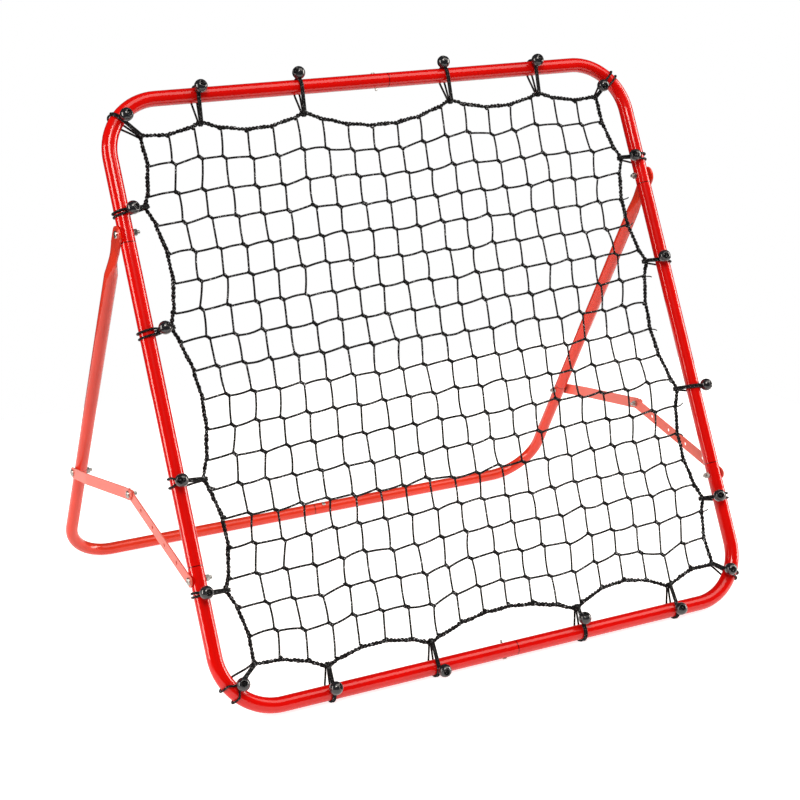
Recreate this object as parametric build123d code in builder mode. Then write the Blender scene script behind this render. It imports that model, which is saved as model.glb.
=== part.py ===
"""Pitch back rebounder: a leaning square tube frame that holds an elastic-tied net,
and a U-shaped rear stand hinged to it and braced open by a folding strap on each side.

Millimetres, +Z up, +Y from the net towards the rear stand, +X to the right of a player
who faces the net. The origin is on the floor, at the middle of the footprint.
"""

import os
from math import acos, cos, radians, sin, sqrt

from build123d import *

# Front frame: centreline sizes of the square of tube, measured in its leaning plane.
FRAME_WIDTH = 975.0
FRAME_HEIGHT = 983.0
FRAME_LEAN = 26.5
CORNER_RADIUS = 93.0
FRAME_TUBE_RADIUS = 12.5
FRAME_RAIL_Y = -364.2

# Rear stand: a narrower tube, bent to a U, with the tops of its legs pressed flat.
STAND_HALF_WIDTH = 502.0
STAND_DEPTH = 756.0
STAND_TUBE_RADIUS = 11.0
STAND_CORNER_RADIUS = 88.0
FLAT_WIDTH = 33.0
FLAT_THICKNESS = 3.2
FLAT_TIP = 12.5
FLAT_END = 30.0
ROUND_START = 86.0
FLAT_ROUNDING = 1.4

# Places along the tubes, measured up from the bottom rail or down from the pivot.
PIVOT_UP = 768.0
BRACE_UP = 214.0
UPPER_SEAM_UP = 752.0
LOWER_SEAM_UP = 234.0
BRACE_DOWN = 564.0
LEG_SEAM_DOWN = 552.0
FRONT_SEAM_X, FRONT_SCREW_X = 23.0, 0.0
REAR_SEAM_X, REAR_SCREW_X = 6.0, 26.0
TUBE_WALL = 1.2
SPIGOT_LENGTH = 46.0
SPIGOT_GAP = 0.15
SEAM_GAP = 0.5
SHOULDER_LENGTH = 3.0

# Braces: flat straps, the long one with spare holes for other angles.
STRAP_WIDTH = 20.0
STRAP_THICKNESS = 2.0
HOLE_PITCH = 54.0
HOLE_COUNT = 6
SHORT_STRAP_LENGTH = 276.0
LONG_STRAP_FACE_X = 500.4
SHORT_STRAP_FACE_X = 514.6
MIDDLE_GAP = 0.5
STRAP_FLAT = 80.0
STRAP_MIDDLE_FLAT = 20.0
STOP_TAB_LENGTH = 8.0
STOP_TAB_OFFSET = 10.0
STOP_EAR_HEIGHT = 8.0

# Fasteners: 6 mm bolts, 4 mm screws in the rail seams.
BOLT_RADIUS = 3.0
PIN_HOLE_RADIUS = 3.06
LOOSE_HOLE_RADIUS = 3.2
HEAD_RADIUS = 6.2
HEAD_HEIGHT = 2.8
HEAD_ROUNDING = 0.7
SLOT_SHARE = 0.2
SLOT_DEPTH_SHARE = 0.5
TIP_CHAMFER_SHARE = 0.25
NUT_HOLE_RADIUS = 3.1
STUD_HOLE_RADIUS = 2.5
SEAT_GAP = 0.05
NUT_RADIUS = 5.77
NUT_HEIGHT = 5.0
THREAD_PAST_NUT = 5.0
WASHER_RADIUS = 7.5
WASHER_THICKNESS = 1.2
SCREW_RADIUS = 2.0
SCREW_HEAD_RADIUS = 3.8
SCREW_HEAD_HEIGHT = 1.8
SCREW_TIP = 5.0
SCREW_HOLE_RADIUS = 2.1
MOVING_GAP = 0.3

# Net, border and ball ties, in the plane of the front frame.
MESH_COLUMNS = 19
MESH_ROWS = 18
MESH_WIDTH = 45.6
MESH_HEIGHT = 48.3
NET_BOTTOM_UP = 60.0
TWINE_WIDTH = 2.8
ROPE_WIDTH = 4.6
EDGE_SAG = 0.11
CORNER_EDGE_SAG = 0.04
TIE_CLEARANCE = 14.0
CORD_DIAMETER = 3.5
DOUBLE_CORD_WIDTH = 7.4
SIDE_EYE_RADIUS = 6.0
CORNER_EYE_RADIUS = 9.4
CORD_GAP = 0.3
BALL_RADIUS = 11.0
BALL_HOLE_RADIUS = 2.5

# Each tie: where it pulls the border (x, up), and how far its ball stands from the
# tube's centre towards the net.
TOP_TIES = [((-326, 937), -13), ((-142, 938), -23), ((136, 938), -22), ((313, 937), -10)]
RIGHT_TIES = [((452, 803), 17), ((452, 610), 4), ((453, 375), -21), ((451, 176), 14)]
BOTTOM_TIES = [((342, 40), -1), ((154, 40), 21), ((-124, 40), -14), ((-308, 41), -1)]
LEFT_TIES = [((-446, 189), 1), ((-445, 365), -1), ((-446, 609), 20), ((-447, 807), 6)]
CORNER_TIES = [((431, 921), 24), ((440, 60), 12), ((-427, 69), 12), ((-432, 924), -2)]

# Worked out from the sizes above.
HALF_WIDTH = FRAME_WIDTH / 2
RAIL_Z = FRAME_TUBE_RADIUS + CORD_GAP + CORD_DIAMETER
LEAN_SIN, LEAN_COS = sin(radians(FRAME_LEAN)), cos(radians(FRAME_LEAN))
FACE = Plane(origin=(0, FRAME_RAIL_Y, RAIL_Z), x_dir=(1, 0, 0), z_dir=(0, -LEAN_COS, LEAN_SIN))
PIVOT = FACE.from_local_coords(Vector(0, PIVOT_UP, 0))
FRONT_BRACE = FACE.from_local_coords(Vector(0, BRACE_UP, 0))
FOOT = Vector(0, FRAME_RAIL_Y + STAND_DEPTH, STAND_TUBE_RADIUS)
LEG_DIRECTION = (FOOT - PIVOT).normalized()
LEG_LENGTH = (FOOT - PIVOT).length
STAND = Plane(origin=PIVOT, x_dir=(1, 0, 0), z_dir=(0, -LEG_DIRECTION.Z, LEG_DIRECTION.Y))
LEG_BRACE = PIVOT + LEG_DIRECTION * BRACE_DOWN
LONG_STRAP_LENGTH = HOLE_PITCH * (HOLE_COUNT - 1)
MIDDLE_STRAP_FACE_X = LONG_STRAP_FACE_X + STRAP_THICKNESS + MIDDLE_GAP
LEG_FLAT_FACE_X = STAND_HALF_WIDTH + FLAT_THICKNESS / 2


def brace_middle():
    """The upper meeting point of the two straps, from their lengths and end pivots."""
    base = LEG_BRACE - FRONT_BRACE
    along = (base.length**2 + LONG_STRAP_LENGTH**2 - SHORT_STRAP_LENGTH**2) / (2 * base.length)
    rise = sqrt(LONG_STRAP_LENGTH**2 - along**2)
    unit = base.normalized()
    return FRONT_BRACE + unit * along + Vector(0, -unit.Z, unit.Y) * rise


BRACE_MIDDLE = brace_middle()


def across(point, x):
    """A point of the side view, moved out to a given x."""
    return Vector(x, point.Y, point.Z)


def tube_piece(plane, corners, radius, bend_radius):
    """A bent hollow tube along corners given in a plane."""
    with BuildPart() as piece:
        with BuildLine(plane) as route:
            FilletPolyline(*corners, radius=bend_radius)
        with BuildSketch(Plane(origin=route.line @ 0, z_dir=route.line % 0)):
            Circle(radius)
            Circle(radius - TUBE_WALL, mode=Mode.SUBTRACT)
        sweep()
    return piece.part


def spigot(start, direction, radius):
    """The swaged end of a tube, from just inside the tube to its tip in the next one."""
    outer = radius - TUBE_WALL - SPIGOT_GAP
    with BuildPart() as neck:
        with BuildSketch(Plane(origin=start - direction * SHOULDER_LENGTH, z_dir=direction)):
            Circle(radius - TUBE_WALL / 2)
            Circle(outer - TUBE_WALL, mode=Mode.SUBTRACT)
        extrude(amount=SHOULDER_LENGTH)
        with BuildSketch(Plane(origin=start, z_dir=direction)):
            Circle(outer)
            Circle(outer - TUBE_WALL, mode=Mode.SUBTRACT)
        extrude(amount=SPIGOT_LENGTH + SEAM_GAP)
    return neck.part


def drill(point, direction, radius, depth):
    """Cuts a round hole both ways from a point of the part being built."""
    with BuildSketch(Plane(origin=point, z_dir=direction)) as hole:
        Circle(radius)
    extrude(hole.sketch, amount=depth, both=True, mode=Mode.SUBTRACT)


def pan_bolt(seat, outward, length, radius=BOLT_RADIUS, head=HEAD_RADIUS, height=HEAD_HEIGHT):
    """A pan-head bolt with a cross slot: seat is under its head, outward points past it."""
    with BuildPart() as bolt:
        with BuildSketch(Plane(origin=seat - outward * length, z_dir=outward)):
            Circle(radius)
        extrude(amount=length)
        with BuildSketch(Plane(origin=seat, z_dir=outward)):
            Circle(head)
        extrude(amount=height)
        fillet(bolt.edges().filter_by(GeomType.CIRCLE).group_by(lambda edge: edge.radius)[-1]
               .sort_by(lambda edge: (edge.center() - seat).dot(outward))[-1], radius=height * HEAD_ROUNDING)
        with BuildSketch(Plane(origin=seat + outward * height, z_dir=outward)):
            Rectangle(head, head * SLOT_SHARE)
            Rectangle(head * SLOT_SHARE, head)
        extrude(amount=-height * SLOT_DEPTH_SHARE, mode=Mode.SUBTRACT)
        chamfer(bolt.faces().sort_by(lambda face: (face.center() - seat).dot(outward))[0].edges(),
                length=radius * TIP_CHAMFER_SHARE)
    return bolt.part


def hex_nut(seat, direction, hole=NUT_HOLE_RADIUS):
    """A six-sided nut whose near face is at seat, with its body along direction."""
    with BuildPart() as nut:
        with BuildSketch(Plane(origin=seat, z_dir=direction)):
            RegularPolygon(NUT_RADIUS, side_count=6)
            Circle(hole, mode=Mode.SUBTRACT)
        extrude(amount=NUT_HEIGHT)
    return nut.part


def save(part, label):
    """Labels a finished piece and writes its STEP file."""
    part.label = label
    export_step(part, f"parts/{label}.step")
    return part


def save_pair(part, label):
    """Writes a right-hand piece and its mirror image on the left."""
    save(part, f"{label}_right")
    with BuildPart() as left:
        mirror(part, about=Plane.YZ)
    save(left.part, f"{label}_left")


def seam_screw(plane, up, outward, radius, x, length):
    """The screw through a rail's seam, with its head on the outward side."""
    seat = plane.from_local_coords(Vector(x, up, 0)) + outward * (radius + SEAT_GAP)
    return pan_bolt(seat, outward, length, SCREW_RADIUS, SCREW_HEAD_RADIUS, SCREW_HEAD_HEIGHT)


def rail_half(plane, side, up, upright_end, half_width, pin_up, seam, screw_x, spigot_side):
    """Half a rail with its corner and the short length of upright that belongs to it."""
    radius, bend_radius = (
        (FRAME_TUBE_RADIUS, CORNER_RADIUS) if plane is FACE else (STAND_TUBE_RADIUS, STAND_CORNER_RADIUS)
    )
    start_x = seam + (side * SEAM_GAP if spigot_side == side else 0)
    start = plane.from_local_coords(Vector(start_x, up, 0))
    corners = [(start_x, up), (side * half_width, up), (side * half_width, upright_end)]
    bent = tube_piece(plane, corners, radius, bend_radius)
    neck = spigot(start, Vector(-side, 0, 0), radius)
    with BuildPart() as half:
        add(bent)
        if spigot_side == side:
            add(neck)
        drill(plane.from_local_coords(Vector(screw_x, up, 0)), plane.y_dir, SCREW_HOLE_RADIUS, 2 * radius)
        pin = plane.from_local_coords(Vector(side * half_width, pin_up, 0))
        drill(pin, Vector(1, 0, 0), LOOSE_HOLE_RADIUS, 2 * radius)
    return half.part


def front_tubes():
    """Four corner tubes and two straight side tubes make the leaning square."""
    rails = (("top", FRAME_HEIGHT, UPPER_SEAM_UP, PIVOT_UP), ("bottom", 0, LOWER_SEAM_UP, BRACE_UP))
    for side, name in ((1, "right"), (-1, "left")):
        for rail, up, end, pin in rails:
            half = rail_half(FACE, side, up, end, HALF_WIDTH, pin, FRONT_SEAM_X, FRONT_SCREW_X, 1)
            save(half, f"{rail}_tube_{name}")

    low, high = LOWER_SEAM_UP + SEAM_GAP, UPPER_SEAM_UP - SEAM_GAP
    bottom_end = FACE.from_local_coords(Vector(HALF_WIDTH, low, 0))
    top_end = FACE.from_local_coords(Vector(HALF_WIDTH, high, 0))
    with BuildPart() as side_tube:
        with BuildSketch(Plane(origin=bottom_end, z_dir=FACE.y_dir)):
            Circle(FRAME_TUBE_RADIUS)
            Circle(FRAME_TUBE_RADIUS - TUBE_WALL, mode=Mode.SUBTRACT)
        extrude(amount=high - low)
        add(spigot(top_end, FACE.y_dir, FRAME_TUBE_RADIUS))
        add(spigot(bottom_end, -FACE.y_dir, FRAME_TUBE_RADIUS))
        for hole_up in (PIVOT_UP, BRACE_UP):
            point = FACE.from_local_coords(Vector(HALF_WIDTH, hole_up, 0))
            drill(point, Vector(1, 0, 0), LOOSE_HOLE_RADIUS, 2 * FRAME_TUBE_RADIUS)
    save_pair(side_tube.part, "side_tube")


def stand_legs():
    """The upper leg: a round tube pressed flat at its top to turn on the pivot bolt."""
    seam = LEG_SEAM_DOWN - SEAM_GAP
    slope = Plane(origin=across(PIVOT, STAND_HALF_WIDTH), x_dir=(1, 0, 0), z_dir=LEG_DIRECTION)
    flat_face = Plane(origin=across(PIVOT, LEG_FLAT_FACE_X), x_dir=LEG_DIRECTION, z_dir=(-1, 0, 0))
    neck = spigot(across(PIVOT + LEG_DIRECTION * seam, STAND_HALF_WIDTH), LEG_DIRECTION, STAND_TUBE_RADIUS)
    with BuildPart() as leg:
        with BuildSketch(slope.offset(FLAT_END)):
            RectangleRounded(FLAT_THICKNESS, FLAT_WIDTH, FLAT_ROUNDING)
        with BuildSketch(slope.offset(ROUND_START)):
            Circle(STAND_TUBE_RADIUS)
        loft()
        with BuildSketch(slope.offset(ROUND_START)):
            Circle(STAND_TUBE_RADIUS)
            Circle(STAND_TUBE_RADIUS - TUBE_WALL, mode=Mode.SUBTRACT)
        extrude(amount=seam - ROUND_START)
        with BuildSketch(flat_face):
            with Locations((FLAT_WIDTH / 2 - FLAT_TIP, 0)):
                Circle(FLAT_WIDTH / 2)
            with Locations((FLAT_END, 0)):
                Rectangle(FLAT_END + FLAT_TIP - FLAT_WIDTH / 2, FLAT_WIDTH, align=(Align.MAX, Align.CENTER))
        extrude(amount=FLAT_THICKNESS)
        add(neck)
        drill(across(PIVOT, STAND_HALF_WIDTH), Vector(1, 0, 0), PIN_HOLE_RADIUS, FLAT_WIDTH)
        drill(across(LEG_BRACE, STAND_HALF_WIDTH), Vector(1, 0, 0), LOOSE_HOLE_RADIUS, FLAT_WIDTH)
    save_pair(leg.part, "stand_leg")


def stand_rails():
    """The rear rail's two halves, each with its corner and the foot of a leg."""
    for side, name in ((1, "right"), (-1, "left")):
        half = rail_half(STAND, side, LEG_LENGTH, LEG_SEAM_DOWN, STAND_HALF_WIDTH, BRACE_DOWN,
                         REAR_SEAM_X, REAR_SCREW_X, -1)
        save(half, f"stand_rail_{name}")


def strap_plane(start, end, x):
    """The side of a strap: its length along local x, its upper edge towards local +y."""
    unit = (end - start).normalized()
    return Plane(origin=across(start, x), x_dir=unit, z_dir=(1, 0, 0))


def long_strap():
    """The drilled strap from the front frame to the middle joint."""
    side = strap_plane(FRONT_BRACE, BRACE_MIDDLE, LONG_STRAP_FACE_X)
    with BuildPart() as strap:
        with BuildSketch(side):
            with Locations((LONG_STRAP_LENGTH / 2, 0)):
                SlotCenterToCenter(LONG_STRAP_LENGTH, STRAP_WIDTH)
            with Locations((0, 0)):
                Circle(PIN_HOLE_RADIUS, mode=Mode.SUBTRACT)
            with Locations([(HOLE_PITCH * count, 0) for count in range(1, HOLE_COUNT)]):
                Circle(LOOSE_HOLE_RADIUS, mode=Mode.SUBTRACT)
        extrude(amount=STRAP_THICKNESS)
    save_pair(strap.part, "long_strap")


def short_strap():
    """The plain strap from the leg to the middle joint, set inwards past the leg, with a
    small tab bent over the long strap's edge as the opening stop."""
    side = strap_plane(LEG_BRACE, BRACE_MIDDLE, 0)
    plan = Plane(origin=(0, LEG_BRACE.Y, LEG_BRACE.Z), x_dir=side.x_dir, z_dir=-side.y_dir)
    end = SHORT_STRAP_LENGTH + STRAP_WIDTH / 2
    turn_in = SHORT_STRAP_LENGTH - STRAP_MIDDLE_FLAT
    outer, middle = SHORT_STRAP_FACE_X, MIDDLE_STRAP_FACE_X
    tab = stop_tab()
    inside = [(-STRAP_WIDTH / 2, outer), (STRAP_FLAT, outer), (turn_in, middle), (end, middle)]
    outside = [(along, x + STRAP_THICKNESS) for along, x in reversed(inside)]
    with BuildPart() as strap:
        with BuildSketch(plan):
            with BuildLine():
                Polyline(*inside, *outside, close=True)
            make_face()
        extrude(amount=STRAP_WIDTH / 2, both=True)
        with BuildSketch(side):
            with Locations((SHORT_STRAP_LENGTH / 2, 0)):
                SlotCenterToCenter(SHORT_STRAP_LENGTH, STRAP_WIDTH)
        extrude(amount=outer + 2 * STRAP_THICKNESS, mode=Mode.INTERSECT)
        add(tab)
        drill(across(LEG_BRACE, outer), Vector(1, 0, 0), PIN_HOLE_RADIUS, 3 * STRAP_THICKNESS)
        drill(across(BRACE_MIDDLE, middle), Vector(1, 0, 0), LOOSE_HOLE_RADIUS, 3 * STRAP_THICKNESS)
    save_pair(strap.part, "short_strap")


def stop_tab():
    """A tab along the long strap's upper edge, bent in from an ear of the short strap."""
    edge = strap_plane(BRACE_MIDDLE, FRONT_BRACE, LONG_STRAP_FACE_X)
    above = STRAP_WIDTH / 2 + MOVING_GAP + STRAP_THICKNESS / 2
    with BuildPart() as tab:
        with BuildSketch(edge):
            with Locations((STOP_TAB_OFFSET, -above)):
                Rectangle(STOP_TAB_LENGTH, STRAP_THICKNESS)
        extrude(amount=MIDDLE_STRAP_FACE_X + STRAP_THICKNESS - LONG_STRAP_FACE_X)
        with BuildSketch(edge.offset(MIDDLE_STRAP_FACE_X - LONG_STRAP_FACE_X)):
            with Locations((STOP_TAB_OFFSET, STOP_EAR_HEIGHT / 2 - above)):
                Rectangle(STOP_TAB_LENGTH, STOP_EAR_HEIGHT + STRAP_THICKNESS)
        extrude(amount=STRAP_THICKNESS)
    return tab.part


def through_bolt(label, point, head_face, far_face):
    """A bolt across a tube with its nut on the net side of it."""
    outward = Vector(1, 0, 0)
    length = head_face - far_face + NUT_HEIGHT + THREAD_PAST_NUT
    save_pair(pan_bolt(across(point, head_face), outward, length), f"{label}_bolt")
    save_pair(hex_nut(across(point, far_face), -outward), f"{label}_nut")


def side_fasteners():
    """Pivot, brace and middle-joint fasteners of one side, and their mirror images."""
    frame_inside = HALF_WIDTH - FRAME_TUBE_RADIUS - SEAT_GAP
    stand_inside = STAND_HALF_WIDTH - STAND_TUBE_RADIUS - SEAT_GAP
    through_bolt("pivot", PIVOT, LEG_FLAT_FACE_X + MOVING_GAP, frame_inside)
    through_bolt("front_brace", FRONT_BRACE, LONG_STRAP_FACE_X + STRAP_THICKNESS + MOVING_GAP, frame_inside)
    through_bolt("leg_brace", LEG_BRACE, SHORT_STRAP_FACE_X + STRAP_THICKNESS + MOVING_GAP, stand_inside)

    washer_face = STAND_HALF_WIDTH + STAND_TUBE_RADIUS + SEAT_GAP
    with BuildPart() as washer:
        with BuildSketch(Plane(origin=across(LEG_BRACE, washer_face), z_dir=(1, 0, 0))):
            Circle(WASHER_RADIUS)
            Circle(LOOSE_HOLE_RADIUS, mode=Mode.SUBTRACT)
        extrude(amount=WASHER_THICKNESS)
    save_pair(washer.part, "leg_brace_washer")

    outer_face = MIDDLE_STRAP_FACE_X + STRAP_THICKNESS
    save_pair(pan_bolt(across(BRACE_MIDDLE, outer_face), Vector(1, 0, 0), STRAP_THICKNESS), "middle_bolt")
    with BuildPart() as middle_nut:
        add(hex_nut(across(BRACE_MIDDLE, LONG_STRAP_FACE_X), Vector(-1, 0, 0), STUD_HOLE_RADIUS))
        stud_end = across(BRACE_MIDDLE, LONG_STRAP_FACE_X + STRAP_THICKNESS)
        with BuildSketch(Plane(origin=stud_end, z_dir=(-1, 0, 0))):
            Circle(BOLT_RADIUS)
        extrude(amount=STRAP_THICKNESS + NUT_HEIGHT + THREAD_PAST_NUT)
    save_pair(middle_nut.part, "middle_nut")


def rail_screws():
    """A screw right through each front seam with its tip on the net's side, and a short
    one into the upper side of the rear seam, clear of the floor."""
    for name, up, outward in (("top", FRAME_HEIGHT, FACE.y_dir), ("bottom", 0, -FACE.y_dir)):
        length = 2 * FRAME_TUBE_RADIUS + SCREW_TIP
        screw = seam_screw(FACE, up, outward, FRAME_TUBE_RADIUS, FRONT_SCREW_X, length)
        save(screw, f"{name}_rail_screw")
    rear = seam_screw(STAND, LEG_LENGTH, -STAND.y_dir, STAND_TUBE_RADIUS, REAR_SCREW_X, STAND_TUBE_RADIUS)
    save(rear, "rear_rail_screw")


def border_points():
    """The ties' pulling points, clockwise from the top left corner."""
    corners = [tie[0] for tie in CORNER_TIES]
    sides = [[tie[0] for tie in ties] for ties in (TOP_TIES, RIGHT_TIES, BOTTOM_TIES, LEFT_TIES)]
    return [corners[3], *sides[0], corners[0], *sides[1], corners[1], *sides[2], corners[2], *sides[3]]


def border_outline(grow):
    """The scalloped outline: an arc that sags inwards between each two ties, with every
    point moved out from the middle of the net by a given amount."""
    points = [Vector(*point) for point in border_points()]
    corners = [Vector(*tie[0]) for tie in CORNER_TIES]
    middle = Vector(0, FRAME_HEIGHT / 2)
    for start, end in zip(points, points[1:] + points[:1]):
        chord = end - start
        inward = Vector(chord.Y, -chord.X).normalized()
        sag = CORNER_EDGE_SAG if start in corners or end in corners else EDGE_SAG
        sagged = (start + end) * 0.5 + inward * (chord.length * sag - grow)
        ends = [point + (point - middle).normalized() * grow for point in (start, end)]
        ThreePointArc(ends[0], sagged, ends[1])


def net():
    """The mesh as a flat grille of crossing strands inside its border rope."""
    with BuildPart() as rope:
        with BuildSketch(FACE.offset(-ROPE_WIDTH / 2)):
            with BuildLine():
                border_outline(ROPE_WIDTH / 2)
            make_face()
            with BuildLine():
                border_outline(-ROPE_WIDTH / 2)
            make_face(mode=Mode.SUBTRACT)
        extrude(amount=ROPE_WIDTH)
    save(rope.part, "net_border_rope")

    middle_up = NET_BOTTOM_UP + MESH_ROWS * MESH_HEIGHT / 2
    with BuildPart() as mesh:
        with BuildSketch(FACE.offset(-TWINE_WIDTH / 2)):
            with BuildLine():
                border_outline(-ROPE_WIDTH / 2 - CORD_GAP)
            make_face()
            with Locations((0, middle_up)):
                with GridLocations(MESH_WIDTH, MESH_HEIGHT, MESH_COLUMNS + 2, MESH_ROWS + 2):
                    Rectangle(MESH_WIDTH - TWINE_WIDTH, MESH_HEIGHT - TWINE_WIDTH, mode=Mode.SUBTRACT)
            with Locations(*border_points()):
                Circle(TIE_CLEARANCE, mode=Mode.SUBTRACT)
        extrude(amount=TWINE_WIDTH)
    save(mesh.part.solids().sort_by(SortBy.VOLUME)[-1], "net_mesh")


def tube_centre(kind, pull):
    """The point of the tube's centreline, in the frame's plane, that a tie goes round."""
    if kind == "top":
        return Vector(pull.X, FRAME_HEIGHT)
    if kind == "bottom":
        return Vector(pull.X, 0)
    if kind in ("left", "right"):
        return Vector(HALF_WIDTH if kind == "right" else -HALF_WIDTH, pull.Y)
    bend_x = (HALF_WIDTH - CORNER_RADIUS) * (1 if pull.X > 0 else -1)
    bend_up = FRAME_HEIGHT - CORNER_RADIUS if pull.Y > FRAME_HEIGHT / 2 else CORNER_RADIUS
    bend = Vector(bend_x, bend_up)
    return bend + (pull - bend).normalized() * CORNER_RADIUS


def tie_parts(kind, pull, ball_in):
    """One doubled cord looped round the tube and the border rope, and its ball."""
    eye = CORNER_EYE_RADIUS if kind == "corner" else SIDE_EYE_RADIUS
    centre = tube_centre(kind, pull)
    reach = (pull - centre).length
    toward_net = FACE.from_local_coords(pull) - FACE.from_local_coords(centre)
    sideways = toward_net.cross(FACE.z_dir)
    loop_plane = Plane(origin=FACE.from_local_coords(centre), x_dir=toward_net, z_dir=sideways)
    inside = FRAME_TUBE_RADIUS + CORD_GAP
    with BuildPart() as cord:
        with BuildSketch(loop_plane):
            for grow, mode in ((CORD_DIAMETER, Mode.ADD), (0, Mode.SUBTRACT)):
                with BuildLine():
                    belt_outline(inside + grow, eye + grow, reach)
                make_face(mode=mode)
        extrude(amount=DOUBLE_CORD_WIDTH / 2, both=True)

    outside = inside + CORD_DIAMETER + CORD_GAP + BALL_RADIUS
    tilt = (inside - eye) / reach
    on_curve = ball_in < outside * tilt
    front = sqrt(outside**2 - ball_in**2) if on_curve else (outside - ball_in * tilt) / sqrt(1 - tilt**2)
    ball_centre = loop_plane.from_local_coords(Vector(ball_in, front, 0))
    with BuildPart() as ball:
        with Locations(Plane(origin=ball_centre, z_dir=loop_plane.x_dir)):
            Sphere(BALL_RADIUS)
            Cylinder(BALL_HOLE_RADIUS, 2 * BALL_RADIUS, mode=Mode.SUBTRACT)
    return cord.part, ball.part


def belt_outline(big, small, reach):
    """Two arcs joined by their outer tangents, like a belt on two pulleys."""
    lean = acos((big - small) / reach)
    start, end = (big * cos(lean), big * sin(lean)), (reach + small * cos(lean), small * sin(lean))
    Line(start, end)
    ThreePointArc(end, (reach + small, 0), (end[0], -end[1]))
    Line((end[0], -end[1]), (start[0], -start[1]))
    ThreePointArc((start[0], -start[1]), (-big, 0), start)


def ball_ties():
    """The elastic ties of each side and of the corners, as groups of separate solids."""
    groups = {
        "top": TOP_TIES, "right": RIGHT_TIES, "bottom": BOTTOM_TIES, "left": LEFT_TIES, "corner": CORNER_TIES,
    }
    for kind, ties in groups.items():
        pieces = [tie_parts(kind, Vector(*pull), ball_in) for pull, ball_in in ties]
        for index, name in enumerate(("tie_cords", "tie_balls")):
            save(Compound(children=[piece[index] for piece in pieces]), f"{name}_{kind}")


os.makedirs("parts", exist_ok=True)
front_tubes()
stand_legs()
stand_rails()
long_strap()
short_strap()
side_fasteners()
rail_screws()
net()
ball_ties()
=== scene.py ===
import math

import bpy
import numpy as np
from bpy.props import FloatProperty, FloatVectorProperty, IntProperty, PointerProperty
from mathutils import Matrix, Quaternion, Vector


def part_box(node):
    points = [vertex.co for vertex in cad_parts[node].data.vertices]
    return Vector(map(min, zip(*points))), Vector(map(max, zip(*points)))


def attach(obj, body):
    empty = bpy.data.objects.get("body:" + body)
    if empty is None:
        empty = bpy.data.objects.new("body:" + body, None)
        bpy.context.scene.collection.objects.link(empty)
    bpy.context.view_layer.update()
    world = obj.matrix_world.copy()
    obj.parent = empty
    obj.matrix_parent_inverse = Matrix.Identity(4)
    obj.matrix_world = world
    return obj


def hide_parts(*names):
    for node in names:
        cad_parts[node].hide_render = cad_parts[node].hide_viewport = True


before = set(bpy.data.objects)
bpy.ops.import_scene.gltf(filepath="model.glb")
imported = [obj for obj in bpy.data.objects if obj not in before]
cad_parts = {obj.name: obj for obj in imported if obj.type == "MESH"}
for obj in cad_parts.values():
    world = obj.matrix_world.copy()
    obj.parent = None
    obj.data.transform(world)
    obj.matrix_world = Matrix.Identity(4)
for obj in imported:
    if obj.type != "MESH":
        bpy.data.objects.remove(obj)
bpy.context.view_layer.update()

bl_info = {
    "name": "Pitch back rebounder",
    "version": (1, 0, 0),
    "blender": (4, 5, 0),
    "location": "3D View > Sidebar > Rebounder",
    "description": "Knotted net, border rope, ball ties and finishes for a leaning rebounder frame",
    "category": "Object",
}

MM = 0.001
FRAME_TUBE_RADIUS = 12.5
CORNER_RADIUS = 93.0
FRAME_HEIGHT = 983.0
HALF_WIDTH = 487.5
STAND_TUBE_RADIUS = 11.0

# Seams of the tubes, in millimetres: up the front frame's sides, along its bottom rail, down
# the legs from the pivot, and along the rear rail.
LOWER_SEAM_UP, UPPER_SEAM_UP, FRONT_SEAM_X = 234.2, 751.8, 23.2
LEG_SEAM_DOWN, REAR_SEAM_X = 551.8, 5.8
# Width of the painted shadow line at each seam gap, in millimetres.
SEAM_SHADOW_WIDTH = 1.0

FULL_TURN = 2 * math.pi

# Share by which the net's rows hang down less at its right side than at its left.
DROOP_FADE = 0.35

# Random seeds: knot places, twine, border rope, balls.
KNOT_SEED, TWINE_SEED, ROPE_SEED, BALL_SEED = 11, 5, 17, 23

# A knot in the net: places along it in half lengths, and its radius at each, in millimetres.
KNOT_PLACES = (-1.75, -1.3, -0.75, 0.0, 0.75, 1.3, 1.75)
KNOT_RADII = (1.2, 2.7, 3.3, 2.7, 3.3, 2.7, 1.2)

# The same for a knot on the border, which points into the net.
BORDER_KNOT_PLACES = (-0.7, -0.3, 0.2, 0.7, 1.2)
BORDER_KNOT_RADII = (1.4, 3.6, 4.1, 3.2, 1.3)
BORDER_KNOT_LENGTH = 4.2

# Cut ends of twine past the right of the border: each one's row, reach and lift, in millimetres.
TWINE_ENDS = (
    (2, 13.0, 2.0), (5, 9.0, -4.0), (6, 16.0, 5.0), (9, 12.0, -3.0), (11, 14.0, -2.0),
    (13, 10.0, 4.0), (14, 15.0, 3.0),
)
TWINE_END_RADIUS = 1.1

# The knot of cord in a ball's recess, in millimetres: its radius, its width and depth for one
# unit of the knot's curve, and how deep it lies as a share of the recess.
BALL_KNOT_RADIUS, BALL_KNOT_WIDTH, BALL_KNOT_DEPTH, BALL_KNOT_SINK = 1.25, 1.15, 1.1, 0.55

# Steps along a span of twine, a cut end and a side of the border rope, round a knot of cord,
# and along a ball's outside; a border strand keeps one random thickness for the last number.
SPAN_STEPS, END_STEPS, ROPE_STEPS, CORD_KNOT_STEPS, BALL_STEPS, ROUGH_STEPS = 7, 6, 900, 30, 14, 6

# Steps of a tie round the tube, round the border, and on each of the two spans between.
TUBE_ARC_STEPS, EYE_STEPS, STRAIGHT_STEPS = 26, 9, 7

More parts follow.
